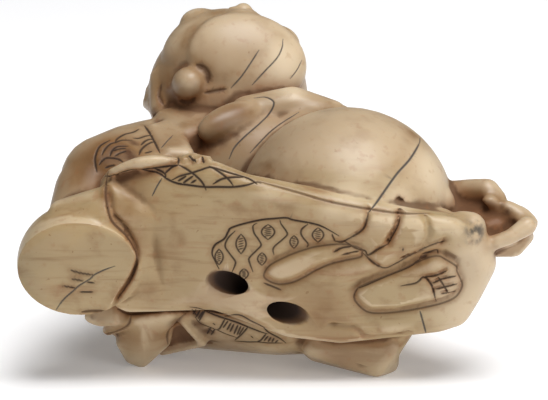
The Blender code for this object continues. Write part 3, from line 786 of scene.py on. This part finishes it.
def engrave(mesh, drawing):
    """Cut the drawn lines into the skin, raise the knots, and store what fills each cut."""
    tree = KDTree(len(drawing.places))
    for number, place in enumerate(drawing.places):
        tree.insert(place, number)
    tree.balance()
    finer_near(mesh, tree)
    points = corners(mesh)
    normals = facing(mesh)
    found = [tree.find(point) for point in points]
    gap = np.array([hit[2] for hit in found])
    half_width, depth, ink, stain, crack = np.array(drawing.cuts)[[hit[1] for hit in found]].T
    points -= normals * (depth * np.clip(1 - gap / (1.5 * half_width), 0, 1))[:, None]
    for u, v in KNOTS:
        reach = np.linalg.norm(points - np.array(drawing.on_skin(u, v)), axis=1) / KNOT_RADIUS
        points += normals * (KNOT_RADIUS * np.sqrt(np.clip(1 - reach * reach, 0, 1)))[:, None] * KNOT_RISE
    put_corners(mesh, points)
    strength = np.clip(1.6 - 1.1 * gap / half_width, 0, 1)
    store(mesh, "ink", strength * ink)
    store(mesh, "stain", strength * stain)
    store(mesh, "crack", strength * crack)
    store(mesh, "halo", np.exp(-(gap / HALO_REACH) ** 2) * (crack == 0))


def store(mesh, name, values):
    """Keep a number for each point, for the material to read."""
    layer = mesh.attributes.new(name, "FLOAT", "POINT")
    layer.data.foreach_set("value", np.asarray(values, np.float32))


def stored(mesh, name):
    """The numbers kept under a name."""
    values = np.empty(len(mesh.vertices), np.float32)
    mesh.attributes[name].data.foreach_get("value", values)
    return values


def neighbour_mean(values, pairs, weight):
    """Each point's mean over its neighbours."""
    total = np.zeros_like(values)
    np.add.at(total, pairs[:, 0], values[pairs[:, 1]])
    np.add.at(total, pairs[:, 1], values[pairs[:, 0]])
    return total / weight


def measure_hollows(mesh):
    """Store how hollow, how sheltered and how matt each point is; brown stain gathers in hollows, and
    sheltered places also carry painted shade.
    """
    pairs = np.empty(len(mesh.edges) * 2, np.int64)
    mesh.edges.foreach_get("vertices", pairs)
    pairs = pairs.reshape(-1, 2)
    points = corners(mesh)
    weight = np.bincount(pairs.ravel(), minlength=len(points)).astype(float)[:, None]
    normals = facing(mesh)
    soft = points.copy()
    hollow = np.zeros(len(points))
    for step in range(1, HOLLOW_STEPS[-1] + 1):
        soft = neighbour_mean(soft, pairs, weight)
        if step in HOLLOW_STEPS:
            hollow += ((soft - points) * normals).sum(1) / math.sqrt(step) * HOLLOW_GAIN
    for _ in range(2):
        hollow = neighbour_mean(hollow[:, None], pairs, weight)[:, 0]
    hollow = np.clip(hollow, np.where(points[:, 2] < 0.05, 0, -1), 1)
    store(mesh, "hollow", hollow)
    shade = sheltered(mesh, points, normals)
    for _ in range(4):
        shade = neighbour_mean(shade[:, None], pairs, weight)[:, 0]
    store(mesh, "shelter", shade)
    marks = [stored(mesh, name) for name in ("ink", "stain", "crack", "bore", "spots")]
    marks += [np.clip(2 * hollow, 0, 1), np.clip(2 * shade - 0.3, 0, 1)]
    store(mesh, "matt", np.maximum.reduce(marks))


def sheltered(mesh, points, normals):
    """How much of the open air above each point other parts of the carving hide."""
    shape = bmesh.new()
    shape.from_mesh(mesh)
    skin = BVHTree.FromBMesh(shape)
    shape.free()
    hidden = np.zeros(len(points))
    for number, (point, normal) in enumerate(zip(points, normals)):
        up = Vector(normal)
        side = up.orthogonal().normalized()
        across = up.cross(side)
        start = Vector(point) + up * SHELTER_START
        for ray in range(SHELTER_RAYS):
            lift = (ray + 0.5) / SHELTER_RAYS
            flat = math.sqrt(1 - lift * lift)
            angle = RAY_TURN * ray + number
            aim = up * lift + (side * math.cos(angle) + across * math.sin(angle)) * flat
            gap = skin.ray_cast(start, aim, SHELTER_REACH)[3]
            if gap is not None:
                hidden[number] += 1 - 0.7 * gap / SHELTER_REACH
    return hidden / SHELTER_RAYS


def mark_age_and_painted_light(mesh, drawing):
    """Store where the ivory has worn pale or darkened, and where light and shade are painted on: patches,
    spots, smudge, underside and cord holes.
    """
    points = corners(mesh)
    for name, patches in (("aged_and_shaded", AGED_AND_SHADED_PATCHES), ("pale_and_lit", PALE_AND_LIT_PATCHES)):
        amounts = np.zeros(len(points))
        for u, v, reach, amount in patches:
            gap = np.linalg.norm(points - np.array(drawing.on_skin(u, v)), axis=1) / (reach * GRID)
            amounts = 1 - (1 - amounts) * (1 - amount * np.exp(-gap * gap))
        store(mesh, name, amounts)
    spots = np.zeros(len(points))
    for u, v, reach, amount in BROWN_SPOTS:
        gap = np.linalg.norm(points - np.array(drawing.on_skin(u, v)), axis=1) / (reach * GRID)
        spots = np.maximum(spots, amount * np.exp(-gap ** 3))
    store(mesh, "spots", spots)
    smudge = np.linalg.norm(points - np.array(drawing.on_skin(*SMUDGE)), axis=1)
    store(mesh, "smudge", np.exp(-(smudge / SMUDGE_REACH) ** 4))
    below = np.clip((TAN_TOP[0] - points[:, 2]) / TAN_TOP[1], 0, 1)
    leftward = np.clip((TAN_RIGHT[0] - points[:, 0]) / TAN_RIGHT[1], 0, 1)
    store(mesh, "tan", below * leftward)
    store(mesh, "bore", bore_depth(points))


def bore_depth(points):
    """How deep each point lies in the cord hole, 0 outside it and 1 at the bottom."""
    depth = np.zeros(len(points))
    for place, aim in zip(CORD_MOUTHS, CORD_ENDS):
        mouth, end = cord_axis(place, aim)
        along = np.array((mouth - end).normalized())
        offset = points - np.array(end)
        gap = np.linalg.norm(offset - np.outer(offset @ along, along), axis=1)
        within = (gap < CORD_RADIUS * 1.03) & (points[:, 2] > 0.03) & (points[:, 2] < CORD_DEPTH + 2)
        depth = np.maximum(depth, np.where(within, np.clip(points[:, 2] / BORE_DARK, 0, 1), 0))
    return depth


class Paint:
    """Builds the node tree of one material; an input is a socket or a plain value."""

    def __init__(self, material):
        self.tree = material.node_tree

    def put(self, value, socket):
        """Link a socket, or set a plain value on the input itself."""
        if isinstance(value, bpy.types.NodeSocket):
            self.tree.links.new(value, socket)
        else:
            socket.default_value = value

    def node(self, kind, inputs=(), **settings):
        """A new node with its settings, and its inputs as pairs of socket and value."""
        made = self.tree.nodes.new(kind)
        for name, value in settings.items():
            setattr(made, name, value)
        for socket, value in inputs:
            self.put(value, made.inputs[socket])
        return made

    def attribute(self, name):
        return self.node("ShaderNodeAttribute", attribute_name=name).outputs["Fac"]

    def mix(self, share, start, end):
        return self.node("ShaderNodeMix", ((0, share), (6, start), (7, end)), data_type="RGBA").outputs[2]

    def curve(self, value, low, high, top=1.0):
        """0 at low, rising softly to top at high."""
        inputs = ((0, value), (1, low), (2, high), (4, top))
        return self.node("ShaderNodeMapRange", inputs, interpolation_type="SMOOTHSTEP").outputs[0]

    def times(self, first, second):
        return self.node("ShaderNodeMath", ((0, first), (1, second)), operation="MULTIPLY").outputs[0]

    def plus(self, first, second):
        return self.node("ShaderNodeMath", ((0, first), (1, second)), operation="ADD").outputs[0]

    def noise(self, scale, stretch=(1, 1, 1), detail=4.0):
        """Noise in the upright carving's directions."""
        place = self.node("ShaderNodeTexCoord").outputs["Object"]
        mapping = self.node("ShaderNodeMapping", ((0, place), ("Scale", stretch)))
        mapping.inputs["Rotation"].default_value[0] = math.radians(TIP_BACK)
        inputs = ((0, mapping.outputs[0]), ("Scale", scale), ("Detail", detail))
        return self.node("ShaderNodeTexNoise", inputs).outputs[0]


def ivory():
    """Old ivory with painted light and shade: layers of share and colour, from the bare material up to the
    ink in the cuts.
    """
    material = bpy.data.materials.new("ivory")
    material.use_nodes = True
    paint = Paint(material)
    attribute, curve, noise, times = paint.attribute, paint.curve, paint.noise, paint.times
    underneath = attribute("tan")
    layers = (
        (curve(noise(90), 0.35, 0.75, 0.4), HONEY),
        (curve(underneath, 0.0, 1.0, 0.85), STRAW),
        (times(curve(noise(260, (0.16, 1.0, 1.0)), 0.45, 0.75, 0.5), underneath), HONEY),
        (times(curve(noise(1500, (0.1, 1.0, 1.0)), 0.5, 0.8, 0.5), underneath), TEA),
        (times(curve(noise(900, (0.08, 1.0, 1.0)), 0.56, 0.8, 0.6), underneath), RUST),
        (curve(noise(330, detail=8.0), 0.5, 0.78, 0.6), TEA),
        (curve(noise(2000, detail=2.0), 0.7, 0.76, 0.45), TEA),
        # Pale worn patches, with painted light and highlights on the side the lamp falls on
        (curve(attribute("pale_and_lit"), 0.0, 1.0, 0.9), IVORY_WHITE),
        (curve(attribute("hollow"), -0.35, -1.0, 0.45), IVORY_WHITE),
        # Aged patches: brown patina with painted shade on the side turned away from the light
        (curve(attribute("aged_and_shaded"), 0.0, 1.0, 0.9), TEA),
        (curve(attribute("aged_and_shaded"), 0.55, 1.0, 0.6), BROWN),
        (curve(attribute("halo"), 0.0, 1.0, 0.35), TEA),
        # Sheltered places: brown patina and painted shade where other parts hide the light; hollows: brown
        # patina
        (curve(attribute("shelter"), 0.1, 0.5, 0.6), RUST),
        (curve(attribute("shelter"), 0.3, 0.9, 0.7), TEA),
        (curve(attribute("hollow"), 0.1, 0.7, 0.8), BROWN),
        (curve(attribute("shelter"), 0.7, 1.0, 0.7), BROWN),
        (curve(noise(1100, detail=5.0), 0.56, 0.72, 0.25), RUST),
        (times(curve(noise(1300, detail=3.0), 0.3, 0.7, 0.9), attribute("smudge")), SLATE),
        # Brown spots, the first of them painted shade in the hole by the left fist
        (attribute("spots"), BROWN),
        # Cord holes: brown at the mouth, then painted shade, nearly black, deeper in
        (curve(attribute("bore"), 0.0, 0.35, 0.9), BROWN),
        (curve(attribute("bore"), 0.25, 0.9, 0.95), DARK),
        (attribute("stain"), BURNT),
        (attribute("ink"), DARK),
        (attribute("crack"), SLATE),
    )
    colour = CREAM
    for share, tint in layers:
        colour = paint.mix(share, colour, tint)
    shader = material.node_tree.nodes["Principled BSDF"]
    paint.put(colour, shader.inputs["Base Color"])
    paint.put(paint.plus(times(attribute("matt"), MATT_GAIN), POLISHED), shader.inputs["Roughness"])
    shader.inputs["Specular IOR Level"].default_value = GLOSS
    shader.inputs["Subsurface Weight"].default_value = SPREAD
    shader.inputs["Subsurface Radius"].default_value = SPREAD_COLOURS
    shader.inputs["Subsurface Scale"].default_value = SPREAD_DEPTH
    return material


def netsuke():
    """The whole carving, lying on its back at its real size."""
    mesh = carved_skin()
    drawing = Drawing(mesh)
    draw_everything(drawing)
    engrave(mesh, drawing)
    mark_age_and_painted_light(mesh, drawing)
    measure_hollows(mesh)
    mesh.transform(lying_place())
    mesh.transform(Matrix.Scale(MM, 4))
    mesh.materials.clear()
    mesh.materials.append(ivory())
    mesh.shade_smooth()
    piece = bpy.data.objects.new("carving", mesh)
    bpy.context.scene.collection.objects.link(piece)
    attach(piece, "root")
    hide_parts("netsuke")


def studio():
    """A white table and soft light from above and the right."""
    scene = bpy.context.scene
    white = bpy.data.materials.new("white table")
    white.use_nodes = True
    shader = white.node_tree.nodes["Principled BSDF"]
    shader.inputs["Base Color"].default_value = TABLE_WHITE
    shader.inputs["Roughness"].default_value = TABLE_ROUGHNESS
    shader.inputs["Emission Color"].default_value = (1, 1, 1, 1)
    shader.inputs["Emission Strength"].default_value = TABLE_GLOW
    table = bpy.data.meshes.new("table")
    rim = [(x * TABLE_HALF, y * TABLE_HALF, 0) for x, y in ((-1, -1), (1, -1), (1, 1), (-1, 1))]
    table.from_pydata(rim, [], [(0, 1, 2, 3)])
    table.materials.append(white)
    floor = bpy.data.objects.new("table", table)
    scene.collection.objects.link(floor)
    for name, place, size, power in LIGHTS:
        lamp = bpy.data.lights.new(name, "AREA")
        lamp.size = size
        lamp.energy = power
        holder = bpy.data.objects.new(name, lamp)
        scene.collection.objects.link(holder)
        holder.location = place
        holder.rotation_euler = (Vector(LIT_PLACE) - Vector(place)).to_track_quat("-Z", "Y").to_euler()
    world = bpy.data.worlds.new("studio")
    scene.world = world
    world.use_nodes = True
    world.node_tree.nodes["Background"].inputs[0].default_value = WORLD_COLOUR
    world.node_tree.nodes["Background"].inputs[1].default_value = WORLD_LIGHT
    scene.view_settings.view_transform = "Standard"


def camera():
    """A long lens that looks down on the table a little."""
    scene = bpy.context.scene
    lens = bpy.data.cameras.new("camera")
    lens.sensor_width = 36
    lens.lens = LENS
    lens.clip_start = 0.01
    holder = bpy.data.objects.new("camera", lens)
    scene.collection.objects.link(holder)
    holder.location = lying_place() @ EYE_PLACE * MM
    holder.rotation_euler = (math.radians(90 - LOOK_DOWN), 0, 0)
    scene.camera = holder


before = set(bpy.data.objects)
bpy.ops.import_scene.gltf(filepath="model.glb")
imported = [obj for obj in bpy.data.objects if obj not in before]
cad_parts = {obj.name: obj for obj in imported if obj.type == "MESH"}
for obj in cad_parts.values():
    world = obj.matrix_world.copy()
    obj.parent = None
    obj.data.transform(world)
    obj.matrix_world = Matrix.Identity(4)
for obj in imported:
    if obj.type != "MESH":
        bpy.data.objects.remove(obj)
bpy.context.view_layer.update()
netsuke()
studio()
camera()
